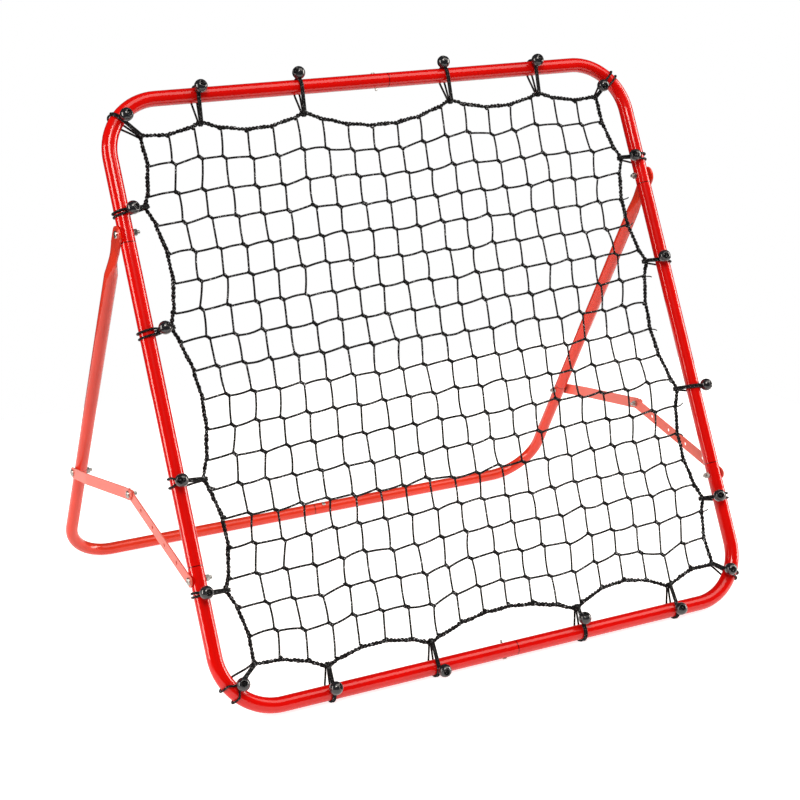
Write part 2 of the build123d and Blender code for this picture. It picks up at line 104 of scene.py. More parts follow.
# Each tie: where it pulls the border (x, up), how far the cord stands along the tube from
# there, then its ball: how far from the tube's centre towards the net, and how far sideways.
TIES = {
    "top": (
        ((-326, 937), 2, -8, 3), ((-142, 938), 1, -21, 0),
        ((136, 938), -1, -20, -2), ((313, 937), 0, -7, 1),
    ),
    "right": (
        ((452, 803), -3, 17, 1), ((452, 610), -3, 9, -3),
        ((453, 375), -2, -21, 0), ((451, 176), -3, 14, 0),
    ),
    "bottom": (
        ((342, 40), -2, -1, 0), ((154, 40), -2, 21, 0),
        ((-124, 40), -3, -8, -6), ((-308, 41), -4, 5, 0),
    ),
    "left": (
        ((-446, 189), 2, 1, 0), ((-445, 365), 2, -1, 0),
        ((-446, 609), -5, 25, 0), ((-447, 807), -6, 13, 0),
    ),
    "corner": (
        ((431, 921), 0, 30, -5), ((440, 60), 0, 12, 0),
        ((-427, 69), 0, 12, -2), ((-432, 924), 0, 6, 7),
    ),
}
CORNERS = {
    "top_left": (-432, 924), "top_right": (431, 921), "bottom_right": (440, 60), "bottom_left": (-427, 69),
}

# Extra sag of each span of the border, as a share of the span, from left to right or upwards.
DEEPER = {
    "top": (0.0, 0.0, 0.012, 0.0, 0.0), "right": (0.0,) * 5,
    "bottom": (0.0, 0.0, 0.0, 0.042, 0.02), "left": (0.0,) * 5,
}

# How far past its ball each tie's strands stay together, and then half the space between
# them at the tube, in millimetres.
TOGETHER = {
    "top": (26.0,) * 4, "right": (0.0,) * 4, "bottom": (34.0,) * 4, "left": (0.0,) * 4,
    "corner": (0.0, 0.0, 0.0, 24.0),
}
SPREAD = {
    "top": (5.0,) * 4, "right": (5.0, 4.0, 4.0, 4.0), "bottom": (5.0,) * 4,
    "left": (3.0, 7.0, 4.5, 3.0), "corner": (5.5, 5.0, 13.0, 5.0),
}

# The studio, in metres and watts. Each lamp has a place, its long axis, width, length and power.
TARGET = (0.0, 0.0, 0.45)
LAMPS = {
    "key": ((-1.6, -3.0, 4.4), "sideways", 1.8, 1.8, 120.0),
    "left": ((-4.4, 0.4, 1.3), "upright", 1.4, 3.4, 120.0),
    "right": ((4.2, -0.9, 1.5), "upright", 1.4, 3.4, 140.0),
    "above": ((1.4, -1.6, 4.6), "sideways", 3.0, 5.0, 110.0),
}
LAMP_COLOUR = (1.0, 0.94, 0.87)
WORLD_LIGHT = 0.04
FLOOR_HALF = 1.3

# The camera: its place in metres, its aim, its roll in degrees, and its lens in millimetres.
CAMERA_PLACE = (-1.378, -2.6962, 1.2988)
CAMERA_AIM = (0.4349, 0.8492, -0.2997)
CAMERA_ROLL = -0.78
CAMERA_LENS, SENSOR_WIDTH = 81.3, 36.0

NODE_FINISHES = {
    "frame_red": ("top_tube_", "side_tube_", "bottom_tube_"),
    "stand_red": ("stand_leg_", "stand_rail_"),
    "strap_red": ("long_strap_", "short_strap_"),
    "bright_zinc": (
        "pivot_bolt_", "front_brace_bolt_", "leg_brace_bolt_", "middle_bolt_", "top_rail_", "bottom_rail_",
        "rear_rail_",
    ),
    "dull_zinc": (
        "pivot_nut_", "front_brace_nut_", "leg_brace_nut_", "leg_brace_washer_", "middle_nut_",
    ),
}


def unit(vectors):
    """Each vector divided by its own length."""
    return vectors / np.linalg.norm(vectors, axis=-1, keepdims=True)


class Face:
    """The leaning plane of the front frame. A place on it is x, the distance up from the
    bottom rail's centreline, and the distance out in front, all in millimetres."""

    def __init__(self, lean):
        low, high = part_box("bottom_tube_right")
        self.up = np.array([0.0, math.sin(lean), math.cos(lean)])
        self.front = np.array([0.0, -math.cos(lean), math.sin(lean)])
        self.right = np.array([1.0, 0.0, 0.0])
        self.rail = np.array([0.0, low.y, low.z]) + FRAME_TUBE_RADIUS * MM * np.array([0, 1, 1])

    def places(self, x, up, front=0.0):
        """World points, in metres, for arrays of places on the plane."""
        x, up, front = np.broadcast_arrays(x, up, front)
        offsets = x[..., None] * self.right + up[..., None] * self.up + front[..., None] * self.front
        return self.rail + MM * offsets


def swept(paths, radii, reference, sides, closed=False, tangents=None):
    """Tubes along many paths at once. At path point P(k) the ring is
    P + r (cos a * A + sin a * B), where A is the tangent crossed with the reference, B is A
    crossed with the tangent, and a goes round in equal steps. The map's u runs round the
    ring and its v is the length along the path in metres."""
    paths = np.asarray(paths, float)
    count, steps = paths.shape[:2]
    if tangents is None:
        tangents = (
            np.roll(paths, -1, 1) - np.roll(paths, 1, 1) if closed else np.gradient(paths, axis=1)
        )
    tangents = unit(np.broadcast_to(tangents, paths.shape))
    first = unit(np.cross(tangents, np.broadcast_to(reference, paths.shape)))
    second = np.cross(first, tangents)
    angle = (FULL_TURN / sides) * np.arange(sides)
    ring = np.cos(angle)[:, None] * first[:, :, None] + np.sin(angle)[:, None] * second[:, :, None]
    radii = np.broadcast_to(np.asarray(radii, float), (count, steps))
    points = paths[:, :, None] + radii[:, :, None, None] * ring

    index = np.arange(count * steps * sides).reshape(count, steps, sides)
    if closed:
        index = np.concatenate([index, index[:, :1]], 1)
    index = np.concatenate([index, index[:, :, :1]], 2)
    corners = (
        index[:, :-1, :-1], index[:, 1:, :-1], index[:, 1:, 1:], index[:, :-1, 1:],
    )
    quads = np.stack(corners, -1).reshape(-1, 4)

    ahead = np.concatenate([paths, paths[:, :1]], 1) if closed else paths
    length = np.linalg.norm(np.diff(ahead, axis=1), axis=-1).cumsum(1)
    length = np.concatenate([np.zeros((count, 1)), length], 1)
    v, u = np.broadcast_arrays(length[:, :, None], np.linspace(0, 1, sides + 1))
    chart = np.stack([u, v], -1)
    chart = np.stack([chart[:, :-1, :-1], chart[:, 1:, :-1], chart[:, 1:, 1:], chart[:, :-1, 1:]], -2)
    shape = {"points": points.reshape(-1, 3), "quads": quads, "charts": chart.reshape(-1, 2), "caps": None}
    if not closed:
        shape["caps"] = np.concatenate([index[:, 0, :-1], index[:, -1, -2::-1]])
    return shape


def make_piece(name, shapes, finish, body, slot, *stands_for):
    """One mesh object from swept shapes, mapped, smooth-shaded and riding on its body."""
    points, faces, charts, start = [], [], [], 0
    for shape in shapes:
        points.append(shape["points"])
        faces += (shape["quads"] + start).tolist()
        charts.append(shape["charts"])
        if shape["caps"] is not None:
            faces += (shape["caps"] + start).tolist()
            charts.append(np.zeros((shape["caps"].size, 2)))
        start += len(shape["points"])
    mesh = bpy.data.meshes.new(name)
    mesh.from_pydata(np.concatenate(points).tolist(), [], faces)
    mesh.uv_layers.new(name="along").data.foreach_set("uv", np.concatenate(charts).ravel())
    mesh.polygons.foreach_set("use_smooth", np.ones(len(mesh.polygons), bool))
    mesh.materials.append(finish)
    mesh.update()
    piece = bpy.data.objects.new(name, mesh)
    bpy.context.scene.collection.objects.link(piece)
    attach(piece, body)
    if stands_for:
        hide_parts(*stands_for)
    return piece


def scallop(start, end, ties, sag, corner_sag, deeper, along):
    """One side of the border: straight between ties, plus a parabola that dips inwards by
    4 s t (1 - t) times the span, where t is the share of the span and s the span's sag."""
    marks = np.array([start, *ties, end], float)
    marks = marks[np.argsort(marks[:, 0])]
    straight = np.interp(along, marks[:, 0], marks[:, 1])
    span = np.clip(np.searchsorted(marks[:, 0], along, side="right") - 1, 0, len(marks) - 2)
    width = np.diff(marks[:, 0])[span]
    share = (along - marks[span, 0]) / width
    depth = np.where((span == 0) | (span == len(marks) - 2), corner_sag, sag) + np.array(deeper)[span]
    return straight, 4 * depth * width * share * (1 - share)


def border_side(kind, share, sizes):
    """Places (x, up) on one side of the border for shares 0 to 1 of the way along it, left
    to right or bottom to top."""
    level = kind in ("top", "bottom")
    names = {
        "top": ("top_left", "top_right"), "bottom": ("bottom_left", "bottom_right"),
        "left": ("bottom_left", "top_left"), "right": ("bottom_right", "top_right"),
    }[kind]
    ends = [CORNERS[name] for name in names]
    ties = [tie[0] for tie in TIES[kind]]
    if not level:
        ends, ties = [point[::-1] for point in ends], [point[::-1] for point in ties]
    along = ends[0][0] + share * (ends[1][0] - ends[0][0])
    across, dip = scallop(
        ends[0], ends[1], ties, sizes.edge_sag, sizes.corner_sag, DEEPER[kind], along,
    )
    across = across - dip if kind in ("top", "right") else across + dip
    return np.stack([along, across] if level else [across, along], -1)


def net_places(u, v, sizes):
    """Places (x, up) of the net for shares u across and v up it: the four-cornered patch
    between the corners, plus each side's own bulge and dips, fading inwards as e^(-d / f)."""
    left_low, right_low = np.array(CORNERS["bottom_left"]), np.array(CORNERS["bottom_right"])
    left_high, right_high = np.array(CORNERS["top_left"]), np.array(CORNERS["top_right"])
    u, v = np.broadcast_arrays(u, v)
    wide, tall = u[..., None], v[..., None]
    low, high = left_low + wide * (right_low - left_low), left_high + wide * (right_high - left_high)
    places = low + tall * (high - low)
    edges = (("bottom", u, v, left_low, right_low), ("top", u, 1 - v, left_high, right_high),
             ("left", v, u, left_low, left_high), ("right", v, 1 - u, right_low, right_high))
    for kind, share, depth, start, end in edges:
        bulge = border_side(kind, share, sizes) - (start + share[..., None] * (end - start))
        places = places + bulge * np.exp(-depth / sizes.fade)[..., None]
    return places


def knot_grid(sizes):
    """Knot places (x, up, front) on the net's grid, with the outermost ones on the border.
    The rows hang down by d (1 - (2 v - 1)^4) (1 - k u), and the middle of the net hangs back
    by b sin(pi u) sin(pi v)."""
    columns, rows = sizes.columns + 1, sizes.rows + 1
    u, v = np.meshgrid(np.linspace(0, 1, columns), np.linspace(0, 1, rows), indexing="ij")
    droop = sizes.droop / (FRAME_HEIGHT - CORNER_RADIUS)
    v = v - droop * (1 - (2 * v - 1) ** 4) * (1 - DROOP_FADE * u)
    places = net_places(u, v, sizes)
    inside = (u > 0) & (u < 1) & (v > 0) & (v < 1)
    wander = np.random.default_rng(KNOT_SEED).normal(0, sizes.wander, places.shape)
    places = places + wander * inside[..., None]
    belly = -sizes.belly * np.sin(np.pi * u) * np.sin(np.pi * v)
    return np.concatenate([places, belly[..., None]], -1)


def strand_paths(face, starts, ends, bow, steps, rng):
    """Twine from start to end of each span: a straight line plus a bow b sin(pi t) square to
    it, with b drawn at random for each."""
    t = np.linspace(0, 1, steps)[None, :, None]
    line = starts[:, None] + t * (ends - starts)[:, None]
    run = unit(ends - starts)
    square = np.stack([-run[:, 1], run[:, 0], 0 * run[:, 0]], -1)
    amount = rng.normal(0, bow, (len(starts), 1, 1))
    line = line + amount * np.sin(np.pi * t) * square[:, None]
    return face.places(line[..., 0], line[..., 1], line[..., 2])


def lumps_at(face, middles, halves, places, radii, vary, rng):
    """Spindles for knots: at place p on a knot the centre is its middle plus p times its half
    length, and the radius there is scaled by one random amount for each knot."""
    line = middles[:, None] + np.array(places)[None, :, None] * halves[:, None]
    size = np.array(radii) * rng.normal(1.0, vary, (len(middles), 1)) * MM
    return face.places(line[..., 0], line[..., 1], line[..., 2]), size


def spread_rope(centre, side, front, pitch, offset):
    """Two strands that twist round a closed centre line: strand n stands off it by
    r (cos w * side + sin w * front), where w turns once each pitch, plus half a turn for n."""
    step = np.linalg.norm(np.roll(centre, -1, 0) - centre, axis=-1)
    turns = round(step.sum() / pitch)
    phase = FULL_TURN * turns * np.concatenate([[0], step.cumsum()[:-1]]) / step.sum()
    phase = phase[None, :, None] + np.array([0, math.pi])[:, None, None]
    return centre + offset * (np.cos(phase) * side + np.sin(phase) * front)


class Value:
    """A node's output that takes part in ordinary arithmetic, each step a Math node."""

    def __init__(self, finish, socket):
        self.finish, self.socket = finish, socket

    def math(self, operation, *others, first=None):
        terms = [self if first is None else first, *others]
        return self.finish.node("ShaderNodeMath", {"operation": operation}, dict(enumerate(terms)))

    def __add__(self, other):
        return self.math("ADD", other)

    def __radd__(self, other):
        return self.math("ADD", other)

    def __sub__(self, other):
        return self.math("SUBTRACT", other)

    def __rsub__(self, other):
        return self.math("SUBTRACT", self, first=other)

    def __mul__(self, other):
        return self.math("MULTIPLY", other)

    def __rmul__(self, other):
        return self.math("MULTIPLY", other)

    def sine(self):
        return self.math("SINE")

    def size(self):
        return self.math("ABSOLUTE")


class Finish:
    """A named material and the nodes that shade it."""

    def __init__(self, name, **uniform):
        self.material = bpy.data.materials.new(name)
        self.material.use_nodes = True
        self.tree = self.material.node_tree
        self.shader = self.tree.nodes["Principled BSDF"]
        self.set(**uniform)

    def set(self, **sockets):
        """Sets or links the shader's own sockets, named with underscores for spaces."""
        for name, value in sockets.items():
            self.feed(self.shader.inputs[name.replace("_", " ")], value)

    def feed(self, socket, value):
        if isinstance(value, Value):
            self.tree.links.new(value.socket, socket)
        else:
            socket.default_value = value

    def node(self, kind, settings=None, sockets=None, output=0):
        """Adds a node: its settings first, then the values or links of its sockets."""
        made = self.tree.nodes.new(kind)
        for name, value in (settings or {}).items():
            setattr(made, name, value)
        for key, value in (sockets or {}).items():
            self.feed(made.inputs[key], value)
        return Value(self, made.outputs[output])

    def place(self):
        return self.node("ShaderNodeTexCoord", output="Object")

    def noise(self, scale, detail=2.0, roughness=0.5):
        sockets = {"Vector": self.place(), "Scale": scale, "Detail": detail, "Roughness": roughness}
        return self.node("ShaderNodeTexNoise", None, sockets)

    def ramp(self, value, low, high):
        """Value stretched so that low becomes 0 and high becomes 1, and clamped."""
        sockets = {"Value": value, "From Min": low, "From Max": high}
        return self.node("ShaderNodeMapRange", {"clamp": True}, sockets)

    def blend(self, share, first, second):
        colours = [tuple(c) + (1.0,) if not isinstance(c, Value) else c for c in (first, second)]
        settings = {"data_type": "RGBA"}
        return self.node("ShaderNodeMix", settings, {0: share, 6: colours[0], 7: colours[1]}, output=2)

    def bump(self, height, strength, distance):
        sockets = {"Height": height, "Strength": strength, "Distance": distance}
        self.set(Normal=self.node("ShaderNodeBump", None, sockets))

    def along(self):
        """The map's two shares: round the cord, and metres along it."""
        chart = self.node("ShaderNodeUVMap", {"uv_map": "along"})
        split = self.tree.nodes.new("ShaderNodeSeparateXYZ")
        self.tree.links.new(chart.socket, split.inputs[0])
        return Value(self, split.outputs["X"]), Value(self, split.outputs["Y"])


def seam_shadow_mask(finish, direction, start, seams, width):
    """Mask of painted shadow: 1 on the thin lines in the gaps where tubes meet, 0 elsewhere: a
    line is where the distance along a direction from a start point is within a width of a
    seam's distance."""
    sockets = {0: finish.place(), 1: tuple(start)}
    offset = finish.node("ShaderNodeVectorMath", {"operation": "SUBTRACT"}, sockets)
    sockets = {0: offset, 1: tuple(direction)}
    along = finish.node("ShaderNodeVectorMath", {"operation": "DOT_PRODUCT"}, sockets, output="Value")
    shade = 0.0
    for seam in seams:
        shade = finish.ramp((along - seam * MM).size(), width * MM, 0.5 * width * MM) + shade
    return shade


def shaded(colour, shade):
    """A colour with each channel scaled by a shade."""
    return [shade * channel for channel in colour]


def powder_coat(name, colour, cloud_shade, roughness, coat, lines=()):
    """Glossy coloured powder coat: faint cloudy colour, a soft orange-peel skin, a clear top,
    and a painted shadow line at each seam gap. Lines holds the arguments of the seam shadow
    mask for each set."""
    speck_share, speck_shade = 0.12, 0.5
    # The seam lines are painted shadow: the coat's colour darkened to near black where tubes meet.
    seam_shadow_share, seam_shadow_colour = 0.85, shaded(colour, 0.06)
    rough_range = 0.1
    finish = Finish(name, Coat_Weight=coat, Coat_Roughness=0.05, Coat_IOR=1.5, Specular_IOR_Level=0.1)
    cloud = finish.ramp(finish.noise(scale=9.0, detail=3.0), low=0.35, high=0.65)
    speck = finish.ramp(finish.noise(scale=900.0, detail=1.0), low=0.62, high=0.75)
    base = finish.blend(cloud, colour, shaded(colour, cloud_shade))
    base = finish.blend(speck * speck_share, base, shaded(colour, speck_shade))
    # Paints the shadow of each seam gap into the base colour.
    for line in lines:
        base = finish.blend(seam_shadow_mask(finish, *line) * seam_shadow_share, base, seam_shadow_colour)
    finish.set(Base_Color=base)
    finish.set(Roughness=finish.noise(scale=45.0) * rough_range + (roughness - rough_range / 2))
    finish.bump(finish.noise(scale=120.0), strength=0.015, distance=0.6 * MM)
    return finish.material


def stand_lines():
    """The rear stand's seams, for painted shadow lines: one across each leg, and one in its rail."""
    pivot = sum(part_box("pivot_bolt_right"), Vector()) / 2
    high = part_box("stand_rail_right")[1]
    foot = Vector((0.0, high.y, 0.0)) + STAND_TUBE_RADIUS * MM * Vector((0, -1, 1))
    start = Vector((0.0, pivot.y, pivot.z))
    down = (foot - start).normalized()
    return (
        (down, start, (LEG_SEAM_DOWN,), SEAM_SHADOW_WIDTH), ((1.0, 0.0, 0.0), start, (REAR_SEAM_X,), SEAM_SHADOW_WIDTH),
    )


def zinc_plate(name, shade):
    """Zinc: grey with a slight warm cast, clouded and faintly scuffed, and darkened by a shade."""
    finish = Finish(name, Metallic=1.0)
    dark, light = shaded((0.42, 0.42, 0.4), shade), shaded((0.72, 0.71, 0.68), shade)
    smoothest, rough_range = 0.2, 0.25
    cloud = finish.ramp(finish.noise(scale=160.0, detail=4.0, roughness=0.6), low=0.3, high=0.7)
    finish.set(Base_Color=finish.blend(cloud, dark, light))
    finish.set(Roughness=finish.noise(scale=420.0, detail=3.0) * rough_range + smoothest)
    finish.bump(finish.noise(scale=900.0), strength=0.15, distance=0.2 * MM)
    return finish.material


def twisted_cord(name, dark, light, plies, pitch, depth, roughness, fleck_and_glint):
    """Twisted black twine: plies that wind round as sin(pi (n u + n v / p)), with pale flecks
    on the crowns of the plies: partly pale fibres, partly painted glints of light."""
    rough_range, fibre_height = 0.2, 0.35
    finish = Finish(name, Specular_IOR_Level=0.22)
    around, length = finish.along()
    wave = (math.pi * plies * (around + length * (1 / pitch))).sine().size()
    # Pale flecks masked to the ply crowns: partly fibres, partly painted glints of light.
    fibre_and_glint = finish.ramp(finish.noise(scale=380.0, detail=1.0, roughness=0.6), low=0.62, high=0.66)
    finish.set(Base_Color=finish.blend(fibre_and_glint * wave * fleck_and_glint, dark, light))
    rough = finish.noise(scale=700.0, detail=1.0) * rough_range + (roughness - rough_range / 2)
    finish.set(Roughness=rough)
    finish.bump(wave + fibre_and_glint * fibre_height, strength=0.9, distance=depth)
    return finish.material


def ball_gloss(colour):
    """Moulded black plastic: glossy, with a faint grain and a few dull rubs."""
    rub_share, rub_shade, smooth, rub_rough = 0.5, 3.0, 0.16, 0.2
    finish = Finish("ball_gloss", Coat_Weight=0.8, Coat_Roughness=0.08)
    rub = finish.ramp(finish.noise(scale=130.0, detail=4.0, roughness=0.6), low=0.52, high=0.7)
    finish.set(Base_Color=finish.blend(rub * rub_share, colour, shaded(colour, rub_shade)))
    finish.set(Roughness=rub * rub_rough + smooth)
    finish.bump(finish.noise(scale=500.0), strength=0.08, distance=0.4 * MM)
    return finish.material


def floor_white(colour):
    """Matt pale floor with the faintest mottling, lit up to plain white where it is seen
    directly."""
    white, glow, mottle_shade = (1.0, 1.0, 1.0), 0.42, 0.985
    finish = Finish("floor_white", Roughness=0.9, Specular_IOR_Level=0.1, Emission_Strength=0.85)
    seen = finish.node("ShaderNodeLightPath", output="Is Camera Ray")
    finish.set(Emission_Color=finish.blend(seen, shaded(white, glow), white))
    mottle = finish.noise(scale=1.5)
    finish.set(Base_Color=finish.blend(mottle, colour, shaded(colour, mottle_shade)))
    return finish.material


class NetSizes(bpy.types.PropertyGroup):
    """Sizes of the net and its border, in millimetres unless a name says otherwise."""

    lean: FloatProperty(name="Lean", description="How far the frame leans back",
                        default=math.radians(26.5), subtype="ANGLE", unit="ROTATION")
    columns: IntProperty(name="Columns", description="Meshes across the net", default=19, min=2)
    rows: IntProperty(name="Rows", description="Meshes up the net", default=18, min=2)
    twine: FloatProperty(name="Twine", description="Radius of the net's twine, mm", default=1.8)
    edge_sag: FloatProperty(name="Edge sag", description="Dip between ties, share of the span",
                            default=0.105, subtype="FACTOR")
    corner_sag: FloatProperty(name="Corner sag", description="Dip beside a corner, share of the span",
                              default=0.08, subtype="FACTOR")
    fade: FloatProperty(name="Fade", description="How fast the border's shape fades, share of the net",
                        default=0.11, subtype="FACTOR")
    droop: FloatProperty(name="Droop", description="How far the middle rows hang down, mm", default=6.5)
    wander: FloatProperty(name="Wander", description="Random shift of each knot, mm", default=1.3)
    belly: FloatProperty(name="Belly", description="How far the net's middle hangs back, mm", default=5.0)
    bow: FloatProperty(name="Bow", description="Random bow of each span of twine, mm", default=0.9)
    knot_right: FloatProperty(name="Knot right", description="Half a knot's run rightwards, mm", default=2.8)
    knot_down: FloatProperty(name="Knot down", description="Half a knot's fall, mm", default=2.3)
    rope_strand: FloatProperty(name="Rope strand", description="Radius of a border strand, mm", default=2.0)
    rope_offset: FloatProperty(name="Rope twist", description="A strand's distance from the centre, mm",
                               default=1.6)
    rope_kink: FloatProperty(name="Rope kink", description="How far the rope bows out between meshes, mm",
                             default=1.6)
    rope_pitch: FloatProperty(name="Rope pitch", description="Length of one turn of the border rope, mm",
                              default=13.0)


class TieSizes(bpy.types.PropertyGroup):
    """Sizes of the elastic ties and their balls, in millimetres."""

    cord: FloatProperty(name="Cord", description="Radius of the elastic cord, mm", default=1.8)
    gap: FloatProperty(name="Gap", description="Space between cord and tube, mm", default=0.3)
    eye: FloatProperty(name="Eye", description="Radius of the turn round the border, mm", default=5.2)
    part_length: FloatProperty(name="Parting", description="Length over which the strands part, mm",
                               default=16.0)
    close_length: FloatProperty(name="Closing", description="Length over which the strands close, mm",
                                default=46.0)
    rope_spread: FloatProperty(name="Spread at rope", description="Half the space between strands there, mm",
                               default=1.7)
    ball: FloatProperty(name="Ball", description="Radius of a ball, mm", default=11.0)
    recess: FloatProperty(name="Recess", description="Radius of the ball's recess, mm", default=5.4)
    recess_depth: FloatProperty(name="Recess depth", description="Depth of the recess, mm", default=5.0)


class Colours(bpy.types.PropertyGroup):
    """Colours of the parts and the stage."""

    frame_red: FloatVectorProperty(name="Frame red", description="Powder coat of the front frame",
                                   default=(0.80, 0.002, 0.0), size=3, subtype="COLOR")
    stand_red: FloatVectorProperty(name="Stand red", description="Powder coat of the rear stand",
                                   default=(0.86, 0.045, 0.018), size=3, subtype="COLOR")
    strap_red: FloatVectorProperty(name="Strap red", description="Powder coat of the straps",
                                   default=(0.92, 0.17, 0.125), size=3, subtype="COLOR")
    black: FloatVectorProperty(name="Black", description="Dark of the twine and cord",
                               default=(0.004, 0.004, 0.005), size=3, subtype="COLOR")
    # Colour of the twine's pale fibres, also used for the painted glints on its plies.
    fleck_and_glint: FloatVectorProperty(name="Fleck", description="Pale fibres of the twine",
                               default=(0.6, 0.62, 0.65), size=3, subtype="COLOR")
    ball: FloatVectorProperty(name="Ball", description="Plastic of the balls",
                              default=(0.014, 0.015, 0.018), size=3, subtype="COLOR")
    floor: FloatVectorProperty(name="Floor", description="The floor",
                               default=(0.8, 0.8, 0.8), size=3, subtype="COLOR")


class FinishFrame(bpy.types.Operator):
    """Give the tubes, straps and fasteners their finishes"""

    bl_idname = "rebounder.finish_frame"
    bl_label = "Finish frame"

    def execute(self, context):
        colours = context.scene.rebounder_colours
        face = Face(context.scene.rebounder_net.lean)
        # The front frame's seams, for painted shadow lines: across its sides and in its bottom rail.
        frame_lines = (
            (face.up, face.rail, (LOWER_SEAM_UP, UPPER_SEAM_UP), SEAM_SHADOW_WIDTH),
            (face.right, face.rail, (FRONT_SEAM_X,), SEAM_SHADOW_WIDTH),
        )
        finishes = {
            "frame_red": powder_coat("frame_powder_coat", colours.frame_red, cloud_shade=0.9,
                                     roughness=0.3, coat=1.0, lines=frame_lines),
            "stand_red": powder_coat("stand_powder_coat", colours.stand_red, cloud_shade=0.9,
                                     roughness=0.32, coat=1.0, lines=stand_lines()),
            "strap_red": powder_coat("strap_powder_coat", colours.strap_red, cloud_shade=0.93,
                                     roughness=0.4, coat=0.6),
            "bright_zinc": zinc_plate("bright_zinc", shade=1.0),
            "dull_zinc": zinc_plate("dull_zinc", shade=0.8),
        }
        for finish, starts in NODE_FINISHES.items():
            for name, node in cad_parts.items():
                if name.startswith(starts):
                    for slot in node.material_slots:
                        slot.material = finishes[finish]
        return {"FINISHED"}


class TieNet(bpy.types.Operator):
    """Knot the net of twine inside its border"""

    bl_idname = "rebounder.tie_net"
    bl_label = "Tie net"

    def execute(self, context):
        sizes, colours = context.scene.rebounder_net, context.scene.rebounder_colours
        face = Face(sizes.lean)
        knots = knot_grid(sizes)
        rng = np.random.default_rng(TWINE_SEED)
        slant = np.array([sizes.knot_right, -sizes.knot_down, 0.0])
        up_from, up_to = knots[1:-1, :-1] - slant, knots[1:-1, 1:] + slant
        across_from, across_to = knots[:-1, 1:-1] + slant, knots[1:, 1:-1] - slant
        starts = np.concatenate([up_from.reshape(-1, 3), across_from.reshape(-1, 3)])
        ends = np.concatenate([up_to.reshape(-1, 3), across_to.reshape(-1, 3)])
        twine = strand_paths(face, starts, ends, sizes.bow, SPAN_STEPS, rng)
        finish = twisted_cord("net_twine", colours.black, colours.fleck_and_glint, plies=2, pitch=9 * MM,
                              depth=1.2 * MM, roughness=0.75, fleck_and_glint=1.0)
        make_piece("net_twine", [swept(twine, sizes.twine * MM, face.front, sides=6)], finish,
                   "front_frame", "net_twine", "net_mesh")

        turn, vary = 0.35, 0.07
        inner = knots[1:-1, 1:-1].reshape(-1, 3)
        turned = slant + rng.normal(0, turn, inner.shape)
        lumps, size = lumps_at(face, inner, turned, KNOT_PLACES, KNOT_RADII, vary, rng)
        make_piece("net_knots", [swept(lumps, size, face.front, sides=7)], finish, "front_frame", "net_twine")
        return {"FINISHED"}


class LayBorder(bpy.types.Operator):
    """Lay the twisted border rope, its knots and the cut ends of twine"""

    bl_idname = "rebounder.lay_border"
    bl_label = "Lay border"

    def execute(self, context):
        sizes, colours = context.scene.rebounder_net, context.scene.rebounder_colours
        face = Face(sizes.lean)
        share = np.linspace(0, 1, ROPE_STEPS, endpoint=False)
        sides = [border_side("top", share, sizes), border_side("right", 1 - share, sizes),
                 border_side("bottom", 1 - share, sizes), border_side("left", share, sizes)]
        bow = sizes.rope_kink * np.abs(np.sin(np.pi * np.outer((sizes.columns, sizes.rows), share)))
        sides[0][:, 1] += bow[0]
        sides[1][:, 0] += bow[1]
        sides[2][:, 1] -= bow[0]
        sides[3][:, 0] -= bow[1]
        outline = np.concatenate(sides)
        centre = face.places(outline[:, 0], outline[:, 1])
        run = unit(np.roll(centre, -1, 0) - np.roll(centre, 1, 0))
        strands = spread_rope(centre, np.cross(run, face.front), face.front,
                              sizes.rope_pitch * MM, sizes.rope_offset * MM)
        rng = np.random.default_rng(ROPE_SEED)
        vary = 0.24
        rough = rng.normal(1.0, vary, (2, strands.shape[1] // ROUGH_STEPS))
        rough = np.repeat(rough, ROUGH_STEPS, axis=1)
        rough = (rough + np.roll(rough, 2, 1) + np.roll(rough, 4, 1)) / 3
        finish = twisted_cord("border_rope", colours.black, colours.fleck_and_glint, plies=2, pitch=7 * MM,
                              depth=1.4 * MM, roughness=0.78, fleck_and_glint=0.9)
        rope = swept(strands, sizes.rope_strand * MM * rough, face.front, sides=6, closed=True)
        make_piece("border_rope", [rope], finish, "front_frame", "border_rope", "net_border_rope")

        knots = knot_grid(sizes)
        ring = np.concatenate([knots[1:-1, 0], knots[1:-1, -1], knots[0, 1:-1], knots[-1, 1:-1]])
        inward = np.repeat(
            [[0.0, 1.0, 0.0], [0.0, -1.0, 0.0], [1.0, 0.0, 0.0], [-1.0, 0.0, 0.0]],
            [sizes.columns - 1, sizes.columns - 1, sizes.rows - 1, sizes.rows - 1], axis=0,
        )
        turn, vary = 0.8, 0.1
        aim = inward * BORDER_KNOT_LENGTH + rng.normal(0, turn, ring.shape)
        lumps, size = lumps_at(face, ring, aim, BORDER_KNOT_PLACES, BORDER_KNOT_RADII, vary, rng)
        make_piece("border_knots", [swept(lumps, size, face.front, sides=8)], finish,
                   "front_frame", "border_rope")

        rows, reach, lift = (np.array(column) for column in zip(*TWINE_ENDS))
        ends = knots[-1, rows]
        t = np.linspace(0, 1, END_STEPS)
        x = ends[:, :1] + reach[:, None] * t
        up = ends[:, 1:2] + lift[:, None] * t**2
        stand_off, curl = 1.5, 2.0
        front = stand_off + curl * np.sin(np.pi * t) * np.ones_like(x)
        tails = swept(face.places(x, up, front), TWINE_END_RADIUS * MM, face.front, sides=6)
        make_piece("twine_ends", [tails], finish, "front_frame", "border_rope")
        return {"FINISHED"}


